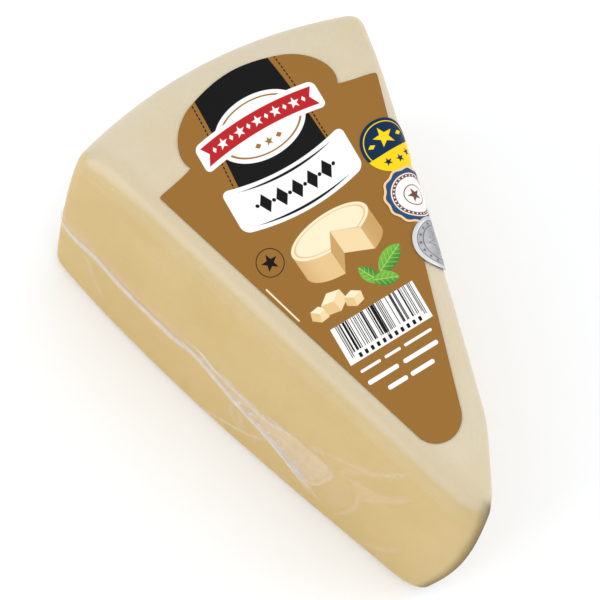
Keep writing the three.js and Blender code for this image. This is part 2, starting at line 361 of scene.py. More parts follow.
CHEESE_STEPS = (150, 15, 12, 100, 56)
CHEESE_HEIGHTS = np.linspace(BASE_EDGE, HEIGHT - TOP_EDGE, 62)[1:-1]
CHEESE_TOP = (0.98, 0.95, 0.91, 0.86, 0.8, 0.73, 0.65, 0.56, 0.46, 0.35, 0.23, 0.11, 0)
# The rind's pale cream is partly its own colour and partly painted sheen: the film's shine under
# the top light is painted in
RIND_AND_SHEEN = colour(208, 198, 175)
YELLOW_RIND_AND_SHEEN = colour(206, 192, 158)
RIND_EDGE = colour(201, 189, 160)  # beside the near cut
SAWN = colour(195, 168, 104)
SAWN_DEEP = colour(188, 160, 92)
CRYSTAL = colour(214, 200, 164)
# depths between which the pale rind and its painted sheen fade in: under the top on the near cut, a
# fainter band of them there, under the top elsewhere, and in from the rim
NEAR_RIND = (0.0042, 0.0009)
NEAR_FAINT_BAND = (0.009, 0.0028)
FAINT_BAND_SHARE = 0.42
FAR_RIND = (0.0085, 0.0045)
RIM_RIND = (0.0045, 0.002)
# depths in from the near cut: where the rind elsewhere starts, and where its edge tints end
NEAR_CUT = (0.0018, 0.0048)
EDGE_YELLOW = (0.009, 0.004)
EDGE_TINT = (0.009, 0.003)
# Painted shade: the blunt nose, turned away from the light, is darkened in the cheese's colour,
# most at its foremost line
NOSE_SHADE = colour(82, 65, 31)
NOSE_SHADE_DEPTH = 0.0036
NOSE_SHADE_FALL = 1.3
NOSE_SHADE_FAR_RATE = 2  # how much faster it fades round the far side
NOSE_SHADE_AZIMUTH = radians(33)  # round from +X, at half height
NOSE_SHADE_LEAN = radians(34)  # how much further round it lies at the top than at the foot
NOSE_SHADE_END = 0.0128  # from the nose's near corner
NOSE_SHADE_FULL = 0.7 * NOSE_SHADE_END
cheese = wrapped("cheese", wedge_rows(CHEESE_STEPS, 6, CHEESE_HEIGHTS, 8, CHEESE_TOP))
push_points(cheese.data, -SLACK)


def toward_nose(plan, z):
    """Plan points with the nose ahead of them: their real parts are how far they reach to it."""
    return plan * np.exp(-1j * (NOSE_SHADE_AZIMUTH + NOSE_SHADE_LEAN * (z / HEIGHT - 0.5)))


def mark_nose_shade(mesh):
    """Painted shade down the blunt nose, which turns away from the light: 1 at its foremost line.
    """
    levels = np.linspace(0, HEIGHT, 30)
    wall = plan_ring(0, CHEESE_STEPS)
    walls = [toward_nose(settle(wall, at + 0 * wall.real)[0], at) for at in levels]
    foremost = np.array([around[np.argmax(around.real)] for around in walls])
    points = read_points(mesh)
    plan = points[:, 0] + 1j * points[:, 1] - WHEEL_CENTRE
    behind = np.interp(points[:, 2], levels, foremost) - toward_nose(plan, points[:, 2])
    depth = (behind.real - SLACK) * np.where(behind.imag < 0, NOSE_SHADE_FAR_RATE, 1)
    near_nose = ease(abs(plan - side_direction(NEAR) * TIP_NEAR), NOSE_SHADE_END, NOSE_SHADE_FULL)
    dark = np.clip(1 - depth / NOSE_SHADE_DEPTH, 0, 1) ** NOSE_SHADE_FALL * near_nose
    mesh.attributes.new("nose_shading", "FLOAT", "POINT").data.foreach_set("value", dark)


def fade_up(measure, top, depths):
    """Fades in between two depths under the top of what is measured."""
    return measure.fade(top - depths[0], top - depths[1])


mark_nose_shade(cheese.data)

paste = Finish("hard_cheese")
place = paste.place()
x, y, z = paste.parts(place)
from_centre = paste.length(x - WHEEL_CENTRE.real, y - WHEEL_CENTRE.imag)
cloud = paste.noise(place, 38, 3, 0.6)
grains = paste.noise(place, 1100, 3, 0.6)
drawn_up = paste.node("Mapping", sockets={"Vector": place, "Scale": (210, 210, 50)})
layers = paste.noise(drawn_up, 1, 4)
cells = paste.node("TexVoronoi", sockets={"Vector": place, "Scale": 330})
few = paste.parts(Signal(paste, cells.socket.node.outputs["Color"]))[0].fade(0.8, 0.84)
crystals = cells.fade(0.2, 0.08) * few
# Deeper towards the foot: a touch of painted shade where the sawn sides meet the floor.
sawn = paste.mix(SAWN, SAWN_DEEP, cloud.fade(0.35, 0.7) * 0.7 + z.fade(0.06, 0.0) * 0.05)
sawn = paste.mix(sawn, SAWN_DEEP, layers.fade(0.5, 0.68) * 0.45 + grains.fade(0.5, 0.75) * 0.4)
sawn = paste.mix(sawn, CRYSTAL, crystals * 0.35)
painted_shade = paste.node("Attribute", {"attribute_name": "nose_shading"}, output="Fac")
shoulder = from_centre.fade(WHEEL_RADIUS - RIM_DEPTH, WHEEL_RADIUS) ** 2 * SHOULDER_DROP
crown = z + shoulder
near_in = (x - WHEEL_CENTRE.real) * side_inward(NEAR).real
near_in = near_in + (y - WHEEL_CENTRE.imag) * side_inward(NEAR).imag
off_near = near_in.fade(*NEAR_CUT)
yellowing = cloud.fade(0.4, 0.75) * 0.6 + grains.fade(0.45, 0.7) * 0.25
rind = paste.mix(RIND_AND_SHEEN, YELLOW_RIND_AND_SHEEN, yellowing + 0.35 * near_in.fade(*EDGE_YELLOW))
rind = paste.mix(rind, RIND_EDGE, near_in.fade(*EDGE_TINT))
# Where the pale rind with its painted sheen lies: on top, over the rounded edges and a little way
# down the near cut.
rind_and_sheen_share = fade_up(crown, HEIGHT, NEAR_RIND).most(FAINT_BAND_SHARE * fade_up(crown, HEIGHT, NEAR_FAINT_BAND))
rind_and_sheen_share = rind_and_sheen_share.most(off_near * fade_up(crown, HEIGHT, FAR_RIND))
rind_and_sheen_share = rind_and_sheen_share.most(off_near * fade_up(from_centre, WHEEL_RADIUS, RIM_RIND))
# The base colour carries the nose's painted shade over the rind and sawn colours.
paste.dress(cheese, paste.shader({
    "Base Color": paste.mix(paste.mix(sawn, rind, rind_and_sheen_share), NOSE_SHADE, painted_shade),
    "Roughness": 0.5 + 0.2 * grains,
    "Specular IOR Level": 0.15,
    "Normal": paste.bump(grains * 0.5 + layers * 0.6 + cloud * 0.4, 0.0006, 0.5),
    "Subsurface Weight": 0.15,
    "Subsurface Radius": (0.004, 0.0025, 0.0012),
    "Subsurface Scale": 0.5,
}))
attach(cheese, "root")
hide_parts("sealed_wedge")

# --- The film -------------------------------------------------------------------------------
# A bag of clear shrink film, drawn down tight over the cheese by vacuum and hot water. Where
# there was film to spare it has set into hard little pleats, the longest of them across the
# near side, and a few flat pockets where it stands off the cheese and looks milky.
FILM_STEPS = (320, 13, 14, 190, 90)
BAND_LOW, BAND_HIGH = 0.006, 0.010  # the finely drawn band below and above the long pleat
FOLD_START, FOLD_FOOT = 0.026, 0.010
FOLD_BEND, FOLD_END = 0.4, 0.68
FILM_TOP = (0.985, 0.97, 0.95, 0.93, 0.9, 0.87, 0.83, 0.78, 0.72, 0.64, 0.54, 0.42, 0.28, 0.14, 0)
SIDE_LENGTH = WHEEL_RADIUS - TIP_NEAR
PLEAT_TAPER = 5  # a pleat fades out over a fifth of its length at each end
PLEAT_END = 0.4  # its width there, as a share of its full width
PLEAT_TOP = 0.007  # under the top: above this the pleats fade out
SIDE_REACH = (0.005, 0.0005)  # depths in from a side between which its pleats fade in
GLOSS_LIMIT = 0.13  # the most that the film's gloss hides of what lies under it
NOSE_CLEAR = 0.95  # how much of its haze and gloss it loses over the nose's painted shade
# The film's white is partly real haze and partly painted highlight: the glint off its creases is
# painted in as white.
MILKY_AND_GLINT = colour(245, 228, 211)
WHITENED_AND_GLINT = colour(219, 214, 216)  # where the film is creased hardest: its whitening and a painted glint off the crease


def film_heights():
    """Heights of the wall's rows round the film, closer together along the long pleat."""
    share = share_along(plan_ring(0, FILM_STEPS))
    fall = np.clip((share - FOLD_BEND) / (FOLD_END - FOLD_BEND), 0, 1)
    fold = FOLD_START + (FOLD_FOOT - FOLD_START) * fall
    low = np.maximum(fold - BAND_LOW, BASE_EDGE + 0.001)
    high = fold + BAND_HIGH
    spans = [(BASE_EDGE + 0 * low, low, 12), (low, high, 38), (high, HEIGHT - TOP_EDGE, 44)]
    rows = []
    for start, end, steps in spans:
        rows += [start + (end - start) * share for share in np.linspace(0, 1, steps + 1)[:-1]]
    return rows[1:]


def supple(course, closed=False):
    """A course of (distance, height) points in mm as complex metres, with its corners eased."""
    points = np.array([complex(along, up) / 1000 for along, up in course])
    for _ in range(2):
        ahead = np.roll(points, -1) if closed else points[1:]
        behind = points if closed else points[:-1]
        quarters = [behind * 0.75 + ahead * 0.25, behind * 0.25 + ahead * 0.75]
        eased = np.stack(quarters, axis=1).ravel()
        points = eased if closed else np.concatenate([points[:1], eased, points[-1:]])
    return np.append(points, points[0]) if closed else points


def distance_to(here, line):
    """How far places on a side lie from a line of points, and where along it they are, 0 to 1."""
    nearest = np.full(here.shape, 1.0)
    passed = np.zeros(here.shape)
    marks = np.concatenate([[0], np.cumsum(abs(np.diff(line)))]) / sum(abs(np.diff(line)))
    for start, step, mark, span in zip(line, np.diff(line), marks, np.diff(marks)):
        share = np.clip(((here - start) * step.conjugate()).real / abs(step) ** 2, 0, 1)
        gap = abs(here - start - share * step)
        passed = np.where(gap < nearest, mark + span * share, passed)
        nearest = np.minimum(nearest, gap)
    return nearest, passed


def inside(here, line):
    """True for places that lie within a closed line."""
    count = np.zeros(here.shape, int)
    for start, end in zip(line, line[1:]):
        crosses = (start.imag > here.imag) != (end.imag > here.imag)
        slope = (end.real - start.real) / (end.imag - start.imag + 1e-12)
        count += crosses & (here.real < start.real + (here.imag - start.imag) * slope)
    return count % 2 == 1


# Each pleat: its half width, how proud it stands, how milky it is, and its course, all in mm but
# the milkiness. A course is distances along a side and heights. The two cuts are measured from
# the rim, and the rim from the near cut.
# A pleat's milky white is partly real whitening of the crease and partly a painted glint off it.
NEAR_PLEATS = [
    (2.9, 0.15, 0.6, [(-12, 28), (3, 26.8), (7.5, 26), (13.6, 27.8), (18.5, 27.4), (24.8, 25.8),
                      (37, 25.8), (42.9, 25.6), (49.2, 28.2), (55.4, 26.4), (64.2, 22.8),
                      (73.8, 20.6), (79.6, 17.9), (84.3, 15.4), (88.7, 12), (93, 8.6)]),
    (5.0, 0.05, 0.14, [(-12, 30), (7.5, 28.8), (18.5, 29.6), (37, 28), (49.2, 30.2),
                       (64.2, 25.6), (79.6, 21), (88.7, 15)]),
    (4.2, 0.05, 0.54, [(68, 22.8), (76, 20.8), (84, 17.6), (90, 13.6), (94, 10)]),
    (2.4, 0.05, 0.36, [(54, 30.5), (62, 29.6), (70, 28.6), (78, 29.4), (84, 29)]),
    (1.5, 0.06, 0.72, [(58, 25.2), (64.2, 22.9), (73.8, 20.5), (79.6, 17.9), (84.3, 15.3),
                       (88.7, 12.2), (91.5, 10)]),
    (1.7, 0.1, 0.55, [(46, 30.8), (51.5, 32), (56.1, 29.4), (65.5, 28.8), (71, 27.5),
                      (76, 28.4), (80.3, 31.7), (84.8, 34.1)]),
    (1.3, 0.1, 0.3, [(58, 27.5), (65, 25), (72, 23.5), (79, 21), (85, 18)]),
    (1.6, 0.12, 0.24, [(84, 14.5), (91.7, 12.4), (96, 9.5), (98, 8)]),
    (1.3, 0.1, 0.3, [(94.6, 34.2), (95.9, 31), (95.3, 25.4), (93.1, 14.7), (89, 11)]),
    (1.3, 0.1, 0.18, [(102.6, 35.7), (104.6, 29.6), (105, 22), (103.7, 14.6), (101.3, 8)]),
    (1.8, 0.1, 0.15, [(84, 32.5), (93.3, 40.6), (98.7, 45.3), (103.2, 50.8), (106.5, 53.4)]),
    (1.8, 0.1, 0.15, [(95.7, 33), (98.6, 39.7), (101.7, 47.1), (105.3, 52.4), (110.9, 66.7)]),
    (1.2, 0.1, 0.2, [(103, 48), (106, 55), (108.3, 60), (111.1, 68)]),
    (1.9, 0.1, 0.16, [(96, 33.8), (99.6, 35.5), (103.8, 38.7), (108.2, 41.1), (114.1, 50.8)]),
    (1.7, 0.1, 0.18, [(104.3, 28.8), (107.2, 35.2), (111.8, 46.4), (115.4, 57)]),
    (1.8, 0.12, 0.24, [(55, 1), (59.7, 3.9), (66.7, 8.2), (73.5, 12.3), (75.6, 16.9), (77, 20)]),
    (1.6, 0.1, 0.16, [(64.3, 21.5), (65.1, 14.8), (67.9, 12), (72.4, 14.7)]),
    (2.0, 0.1, 0.16, [(12, 24), (13.2, 21.5), (16.4, 15.5), (19, 12), (21.7, 9.5)]),
    (1.6, 0.1, 0.12, [(112, 6), (118, 14), (121, 24)]),
]
# short creases that run up from the long pleat: where each starts, and how far up it goes
for along, up, reach in (
    (65.5, 23, 2.6), (69.4, 22, 3.4), (72.6, 21.2, 2.4), (75.8, 20, 4.2), (78.4, 18.8, 2.8),
    (81, 17.6, 4.8), (83.2, 16.4, 3.2), (85.4, 15.2, 5.6), (87.3, 13.8, 3.6), (89, 12.6, 5),
):
    NEAR_PLEATS.append((0.9, 0.03, 0.6, [(along, up), (along + 0.3, up + reach / 2),
                                         (along + 0.9, up + reach)]))
FAR_PLEATS = [
    (2.2, 0.2, 0.42, [(-12, 46.5), (2, 45.8), (16, 45.2), (32, 42.4), (48, 40.6), (64, 35.6),
                     (82, 31.4), (99, 25)]),
    (1.5, 0.12, 0.34, [(28, 45.2), (40, 45.8), (54, 43), (68, 40.4), (80, 36), (91, 31)]),
    (1.5, 0.1, 0.2, [(66, 35.5), (71, 29), (77, 19), (79, 8)]),
    (1.3, 0.1, 0.16, [(84, 31), (89, 24), (96, 17), (99, 9)]),
    (1.6, 0.12, 0.26, [(-10, 6), (4, 9.6), (16, 13.4), (30, 14.4)]),
    (1.3, 0.1, 0.18, [(-8, 8), (3, 16), (11, 27), (13, 36)]),
    (1.3, 0.1, 0.14, [(12, 70), (17, 60), (20, 47)]),
    (1.4, 0.1, 0.14, [(99, 60), (92, 52), (86, 41), (84, 33)]),
]
RIM_PLEATS = [
    (2.2, 0.18, 0.4, [(-12, 25), (2, 27.6), (14, 31.8), (28, 33.8), (43, 38.4), (55, 40)]),
    (1.6, 0.12, 0.3, [(96, 46.5), (83, 45.6), (70, 46.4), (57, 42.8), (44, 43)]),
    (1.4, 0.1, 0.18, [(28, 34), (33, 45), (34.5, 58), (33, 68)]),
    (1.4, 0.1, 0.16, [(60, 43.5), (62, 32), (60, 20)]),
    (1.5, 0.12, 0.22, [(-10, 6), (2, 9), (13, 13.6), (24, 14)]),
    (1.5, 0.12, 0.24, [(96, 5), (83, 9), (72, 15.6), (66, 24)]),
]
# Each pocket: how proud it is, how milky, over what width its edge fades, and its outline, alike.
NEAR_POCKETS = [
    (0.14, 0.29, 2.5, [(67.1, 27), (74.5, 33.5), (82.7, 34.5), (94, 35), (96.5, 31), (95.3, 22),
                       (93.1, 14), (88.7, 11), (79.6, 17), (69, 21)]),
    (0.08, 0.27, 2, [(46, 27), (51.5, 32.5), (57, 31), (66, 30), (72, 28), (68, 22), (57, 25.5)]),
    (0.12, 0.08, 3, [(93.1, 14.7), (95.9, 32.2), (102.6, 35.7), (105, 26), (103.7, 14.6),
                    (101.3, 8), (97, 7.5)]),
    (0.1, 0.04, 3, [(86, 36), (94, 40.5), (103, 48), (100, 42), (96, 34)]),
    (0.1, 0.1, 2, [(98, 36), (106, 40), (110, 42), (107, 32), (104, 29)]),
    (0.1, 0.16, 2, [(65, 21), (69.5, 20), (71, 14), (67, 12)]),
]
FAR_POCKETS = [(0.15, 0.2, 4, [(38, 43), (52, 43), (68, 40), (82, 35), (80, 31), (64, 35)])]
RIM_POCKETS = [(0.15, 0.16, 4, [(44, 42), (57, 43), (70, 46), (60, 40), (50, 38)])]

film = wrapped("film", wedge_rows(FILM_STEPS, 6, film_heights(), 9, FILM_TOP))
mark_nose_shade(film.data)
points = read_points(film.data)
plan = points[:, 0] + 1j * points[:, 1] - WHEEL_CENTRE
height = points[:, 2]
below_top = ease(height, HEIGHT, HEIGHT - PLEAT_TOP)
along_side = share_along(plan) * SIDE_LENGTH
along_rim = (np.angle(-np.conj(plan)) / HALF_ANGLE + 1) * HALF_ANGLE * WHEEL_RADIUS
proud = np.zeros(len(points))
veil = np.zeros(len(points))
for along, depth, pleats, pockets in (
    (along_side, depth_in(plan, NEAR), NEAR_PLEATS, NEAR_POCKETS),
    (along_side, depth_in(plan, FAR), FAR_PLEATS, FAR_POCKETS),
    (along_rim, WHEEL_RADIUS - abs(plan), RIM_PLEATS, RIM_POCKETS),
):
    share = ease(depth, *SIDE_REACH) * below_top
    on_side = np.flatnonzero(share > 0)
    here = along[on_side] + 1j * height[on_side]
    rise_here = np.zeros(len(here))
    milk_here = np.zeros(len(here))
    for width, rise, milk, course in pleats:
        gap, passed = distance_to(here, supple(course))
        taper = np.clip(PLEAT_TAPER * np.minimum(passed, 1 - passed), 0, 1)
        breadth = width / 1000 * (PLEAT_END + (1 - PLEAT_END) * taper)
        crest = np.clip(1 - (gap / breadth) ** 2, 0, 1) ** 2 * np.sqrt(taper)
        rise_here += rise / 1000 * crest
        milk_here = np.maximum(milk_here, milk * crest)
    for rise, milk, soft, outline in pockets:
        line = supple(outline, closed=True)
        within = np.where(inside(here, line), ease(distance_to(here, line)[0], 0, soft / 1000), 0)
        rise_here += rise / 1000 * within
        milk_here = np.maximum(milk_here, milk * within)
    proud[on_side] += rise_here * share[on_side]
    veil[on_side] = np.maximum(veil[on_side], milk_here * share[on_side])
push_points(film.data, proud)
milk_and_glint = film.data.attributes.new("milk_and_glint", "FLOAT", "POINT")
milk_and_glint.data.foreach_set("value", veil)

clear = Finish("clear_film")
place = clear.place()
milk = clear.node("Attribute", {"attribute_name": "milk_and_glint"}, output="Fac")
drawn_out = clear.node("Mapping", sockets={"Vector": place, "Scale": (150, 500, 700)})
streaks = clear.noise(drawn_out, 1, 3, 0.6)
combing = clear.node("Mapping", sockets={"Vector": place, "Scale": (600, 600, 120)})
combed = clear.noise(combing, 1, 2)
ripples = clear.noise(place, 60, 2, 0.5)
# The haze follows the milky white: real whitening and pockets, and the painted glint along the
# pleats.
broken = 0.66 + 0.2 * streaks.fade(0.3, 0.7) + 0.14 * combed.fade(0.3, 0.7)
haze = milk * broken + 0.01 + 0.03 * ripples.fade(0.5, 0.75)
gloss = (clear.node("Fresnel", sockets={"IOR": 1.45}) * 0.9).least(GLOSS_LIMIT)
# The film's haze and gloss are taken off over the nose's painted shade, so that it stays dark.
painted_shade = clear.node("Attribute", {"attribute_name": "nose_shading"}, output="Fac")
clear.dress(film, clear.node("MixShader", sockets={
    0: (haze + gloss) * (1 - NOSE_CLEAR * painted_shade.fade(0, 0.5)),
    1: clear.node("BsdfTransparent"),
    2: clear.shader({
        "Base Color": clear.mix(MILKY_AND_GLINT, WHITENED_AND_GLINT, milk.fade(0.3, 0.55)),
        "Metallic": (gloss / (haze + gloss)).least(1.0),
        "Roughness": 0.2 + 0.4 * milk,
        "Normal": clear.bump(ripples + 0.04 * streaks, 0.0012, 0.35),
    }),
}))
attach(film, "root")
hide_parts("sealed_wedge")

# --- The label ------------------------------------------------------------------------------
# Coated paper, printed brown and black, die-cut to a wedge with an arched head, and stuck on
# the film by its own glue. Its far edge runs just over the rounding of the wedge's top edge.
LABEL_APEX = complex(-0.0234, -0.0009)
LABEL_TURN = radians(1.75)
LABEL_SKEW = 0.071
LABEL_HALF_ANGLE = radians(17.5)
LABEL_TIP_RADIUS = 0.0066
LABEL_EAR = complex(0.1018, 0.032)
LABEL_NOTCH = complex(0.1042, 0.0215)
LABEL_ARCH = 0.1207
LABEL_LIFT = 0.00008
PAPER = 0.00008
LABEL_MIDDLE = 0.8 * LABEL_EAR.real
LABEL_SCALES = (0, 0.12, 0.25, 0.38, 0.5, 0.6, 0.7, 0.78, 0.85, 0.9, 0.94, 0.97, 0.985, 1)
SEAT_PASSES = 4


def bowed(start, pull_one, pull_two, end, steps):
    """A curve between two points, drawn toward two others on its way."""
    t = np.linspace(0, 1, steps, endpoint=False)
    ahead, behind = t, 1 - t
    return (start * behind**3 + 3 * pull_one * behind**2 * ahead
            + 3 * pull_two * behind * ahead**2 + end * ahead**3)


def label_outline():
    """The label's edge, anticlockwise as it lies; real is along its axis, imaginary across it."""
    ear, notch, arch = LABEL_EAR, LABEL_NOTCH, LABEL_ARCH
    centre = LABEL_TIP_RADIUS / sin(LABEL_HALF_ANGLE)
    angles = straight(pi, pi / 2 + LABEL_HALF_ANGLE, 16)
    tip = centre + LABEL_TIP_RADIUS * np.exp(1j * angles)
    side_start = centre + LABEL_TIP_RADIUS * np.exp(1j * (pi / 2 + LABEL_HALF_ANGLE))
    ear_start, ear_end = ear - 0.0008 - 0.00025j, ear + 0.00015 - 0.0007j
    shoulder = arch - 0.0025 + 0.0126j
    half = np.concatenate([
        tip,
        straight(side_start, ear_start, 50),
        rounded(ear_start, ear, ear_end, 6),
        bowed(ear_end, ear + 0.0008 - 0.004j, notch - 0.0009 + 0.002j, notch, 16),
        bowed(notch, notch + 0.004 + 0.0026j, arch - 0.005 + 0.020j, shoulder, 22),
        rounded(shoulder, arch + 0.0055j, arch + 0j, 16),
    ])
    return np.concatenate([half, [arch + 0j], np.conj(half[:0:-1])])


def edge_fall(plan):
    """How far the rounded top edges have fallen at a place seen from above."""
    depth = np.minimum(depth_in(plan, NEAR), depth_in(plan, FAR))
    out = np.clip(TOP_EDGE - depth, 0, TOP_EDGE)
    return TOP_EDGE - np.sqrt(TOP_EDGE**2 - out**2)


def on_top(sheet_place, lift):
    """Puts places in the label's own frame on the wedge's top face, lifted clear of it."""
    u, v = sheet_place.real, sheet_place.imag
    plan = (-(u + LABEL_SKEW * v) + 1j * v) * np.exp(-1j * LABEL_TURN) + LABEL_APEX
    source = plan.copy()
    for _ in range(SEAT_PASSES):
        seat, seat_z = settle(source, HEIGHT - edge_fall(source))
        source += plan - seat
    return in_row(plan, seat_z + lift)


def label_places(lift, scales):
    ring = label_outline()
    return [(LABEL_MIDDLE + (ring - LABEL_MIDDLE) * scale, lift) for scale in scales]


LABEL_SPAN = 0.13  # the printed sheet's own square, within which its print is placed
sheets = label_places(LABEL_LIFT, LABEL_SCALES)
sheets += label_places(LABEL_LIFT + PAPER, LABEL_SCALES[::-1])
label_rows = np.array([on_top(ring, lift) for ring, lift in sheets])
label_print = np.array([
    np.stack([0.5 + ring.imag / LABEL_SPAN, ring.real / LABEL_SPAN], axis=-1)
    for ring, _ in sheets
])
label = wrapped("label_printed", label_rows, label_print)

BROWN = colour(143, 101, 44)
INK = colour(12, 10, 11)
PAPER_WHITE = colour(237, 237, 236)
RED = colour(176, 31, 37)
GOLD = colour(150, 108, 45)


class Print(Finish):
    """A finish printed on a sheet, in plain shapes laid one over another, in millimetres."""

    def __init__(self, name, ground):
        super().__init__(name)
        self.shade = ground

    def ink(self, tint, *distances):
        """Prints the places where every distance is below zero."""
        outside = distances[0]
        for other in distances[1:]:
            outside = outside.most(other)
        inked = self.node(
            "MapRange",
            {"interpolation_type": "LINEAR"},
            {"Value": outside, "From Min": 0.05, "From Max": -0.05},
        )
        self.shade = self.mix(self.shade, tint, inked)

    def block(self, across, up, half_width, half_height, corner=0.0):
        """Distance outside a rounded block about the given places' own middle."""
        out_x = abs(across) - (half_width - corner)
        out_y = abs(up) - (half_height - corner)
        within = out_x.most(out_y).least(0.0)
        return self.length(out_x.most(0.0), out_y.most(0.0)) + within - corner

    def oval(self, across, up, half_width, half_height):
        reach = self.length(across / half_width, up / half_height) - 1
        return reach * min(half_width, half_height)

    def lozenge(self, across, up, half_width, half_height):
        reach = abs(across) / half_width + abs(up) / half_height - 1
        return reach * min(half_width, half_height) * 0.7

    def facet(self, across, up, *corners):
        """Distance outside a flat-sided shape, its corners given anticlockwise."""
        edges = []
        for (x_a, y_a), (x_b, y_b) in zip(corners, corners[1:] + corners[:1]):
            span = hypot(x_b - x_a, y_b - y_a)
            out_x, out_y = (y_b - y_a) / span, (x_a - x_b) / span
            edges.append(across * out_x + up * out_y - (x_a * out_x + y_a * out_y))
        outside = edges[0]
        for edge in edges[1:]:
            outside = outside.most(edge)
        return outside

    def star(self, across, up, radius, tips=5, waist=0.42):
        """Distance outside a star that stands on two of its tips."""
        angle = abs(across.maths("ARCTAN2", across, up).repeat(2 * pi / tips))
        waist_x, waist_y = radius * waist * cos(pi / tips), radius * waist * sin(pi / tips)
        span = hypot(radius - waist_x, waist_y)
        out_x, out_y = waist_y / span, (radius - waist_x) / span
        edge = angle.maths("COSINE", angle) * out_x + angle.maths("SINE", angle) * out_y
        return self.length(across, up) * edge - radius * out_x

    def leaf(self, across, up, length, width):
        """A pointed leaf along the first axis: where two discs overlap."""
        radius = (length**2 + width**2) / (4 * width)
        sink = radius - width / 2
        return (self.length(across, up + sink) - radius).most(
            self.length(across, up - sink) - radius
        )

    def turned(self, across, up, centre_x, centre_y, degrees):
        """Places about a centre, in axes turned anticlockwise by the angle."""
        c, s = cos(radians(degrees)), sin(radians(degrees))
        dx, dy = across - centre_x, up - centre_y
        return dx * c + dy * s, dy * c - dx * s


sheet = Print("printed_label", BROWN)
x, y, _ = sheet.parts(sheet.node("UVMap", {"uv_map": "print"}))
x = (x - 0.5) * (LABEL_SPAN * 1000)
y = y * (LABEL_SPAN * 1000)
# the black band, wider toward the tip, with a row of stitches down each side
sheet.ink(INK, abs(x + 0.95) - (11.0 + 0.071 * (118 - y)), 92 - y)
for middle, lean in ((-13.0, -0.075), (11.6, 0.03)):
    stitch = x - middle - (118 - y) * lean
    sheet.ink(INK, sheet.block(stitch, y.repeat(1.15), 0.17, 0.38), 93 - y)
# the plate: a white oval with a gold ring, crossed by a red ribbon with white stars
px, py = x + 1.1, y - 104.6
sheet.ink(PAPER_WHITE, sheet.oval(px, py, 12.4, 8.2))
sheet.ink(GOLD, abs(sheet.oval(px, py, 11.1, 6.9)) - 0.2)
sheet.ink(GOLD, sheet.star(px, py + 4.3, 1.25))
for side in (-1, 1):
    sheet.ink(GOLD, sheet.lozenge(px - 3.0 * side, py + 4.1, 0.9, 0.75))
ribbon = py - 1.5 + 0.006 * px * px
sheet.ink(PAPER_WHITE, sheet.block(px, ribbon, 17.4, 3.7, 1.6))
sheet.ink(RED, abs(ribbon) - 2.5, abs(px) - (14.6 + 0.6 * abs(ribbon)))
sheet.ink(PAPER_WHITE, sheet.star(px.repeat(5.2), ribbon, 1.5), abs(px) - 13.4)
sheet.ink(PAPER_WHITE, sheet.lozenge((px + 2.6).repeat(5.2), ribbon, 0.55, 0.75), abs(px) - 13.4)
# the curved banner, with a tapered line along each edge and a row of beads between them
bend = y - 86.6 - 0.0085 * x * x
sheet.ink(PAPER_WHITE, sheet.block(x + 0.9, bend, 17.4, 5.9, 2.0))
taper = (1 - (x + 0.9) * (x + 0.9) / 215).most(0.0)
for row in (-4.7, 4.7):
    sheet.ink(INK, abs(bend - row) - (0.4 * taper - 0.06))
sheet.ink(INK, sheet.lozenge((x + 0.9).repeat(4.4), bend, 1.6, 2.6), abs(x + 0.9) - 11.6)
sheet.ink(INK, sheet.length((x + 3.1).repeat(4.4), bend) - 0.5, abs(x + 0.9) - 11.6)
# a wheel of cheese with a slice taken out
CREAM = colour(236, 221, 190)
CREAM_SIDE = colour(216, 185, 132)
CREAM_SHADE = colour(190, 152, 96)
CREAM_CUT = colour(228, 204, 158)
wx, wy = sheet.turned(x, y, 0.8, 70.2, 4)
side_tint = sheet.mix(CREAM_SIDE, CREAM_SHADE, abs(wx + 2.5).fade(3.0, 13.0))
sheet.ink(side_tint, sheet.block(wx, wy - 0.1, 11.4, 3.2))
sheet.ink(side_tint, sheet.oval(wx, wy + 3.1, 11.4, 4.4))
sheet.ink(CREAM, sheet.oval(wx, wy - 3.3, 11.4, 4.4))
sheet.ink(CREAM_SIDE, abs(sheet.oval(wx, wy - 3.3, 10.3, 3.7)) - 0.1)
sheet.ink(BROWN, sheet.facet(wx, wy, (0, 3.3), (-2.6, -1.0), (-2.6, -9.0), (7.0, -9.0), (7.0, 0.0)))
sheet.ink(CREAM_SHADE, sheet.facet(wx, wy, (0, 3.3), (-2.6, -1.0), (-2.6, -7.3), (0, -3.1)))
sheet.ink(CREAM_CUT, sheet.facet(wx, wy, (0, 3.3), (0, -3.1), (7.0, -6.5), (7.0, -0.1)))
# three rough blocks of it, and a sprig of leaves
for bx, by, size, turn in ((-12.0, 57.6, 2.2, -16), (-7.6, 58.6, 3.1, 12), (-2.6, 56.8, 2.3, -8)):
    ax, ay = sheet.turned(x, y, bx, by, turn)
    corners = [(across * size, up * size) for across, up in (
        (-1, 0.3), (0, -0.1), (1, 0.3), (0, 0.75), (-1, -0.65), (0, -1.05), (1, -0.65)
    )]
    left, middle, right, back, low_left, low_middle, low_right = corners
    sheet.ink(CREAM, sheet.facet(ax, ay, left, middle, right, back))
    sheet.ink(CREAM_SIDE, sheet.facet(ax, ay, left, low_left, low_middle, middle))
    sheet.ink(CREAM_CUT, sheet.facet(ax, ay, middle, low_middle, low_right, right))
LEAF = colour(110, 172, 60)
LEAF_DEEP = colour(58, 128, 54)
LEAF_VEIN = colour(160, 202, 98)
for lx, ly, turn, size in ((3.6, 59.4, 118, 6.6), (10.2, 60.4, 24, 8.8), (6.8, 56.6, -22, 7.0)):
    ax, ay = sheet.turned(x, y, lx, ly, turn)
    blade = sheet.leaf(ax, ay, size, size * 0.52)
    sheet.ink(sheet.mix(LEAF, LEAF_DEEP, ay.fade(size * 0.2, -size * 0.25)), blade)
    sheet.ink(LEAF_VEIN, blade + 0.25, abs((ax - abs(ay) * 0.8).repeat(1.3)) - 0.07)
    sheet.ink(LEAF_VEIN, abs(ay) - 0.1, abs(ax) - size * 0.46)
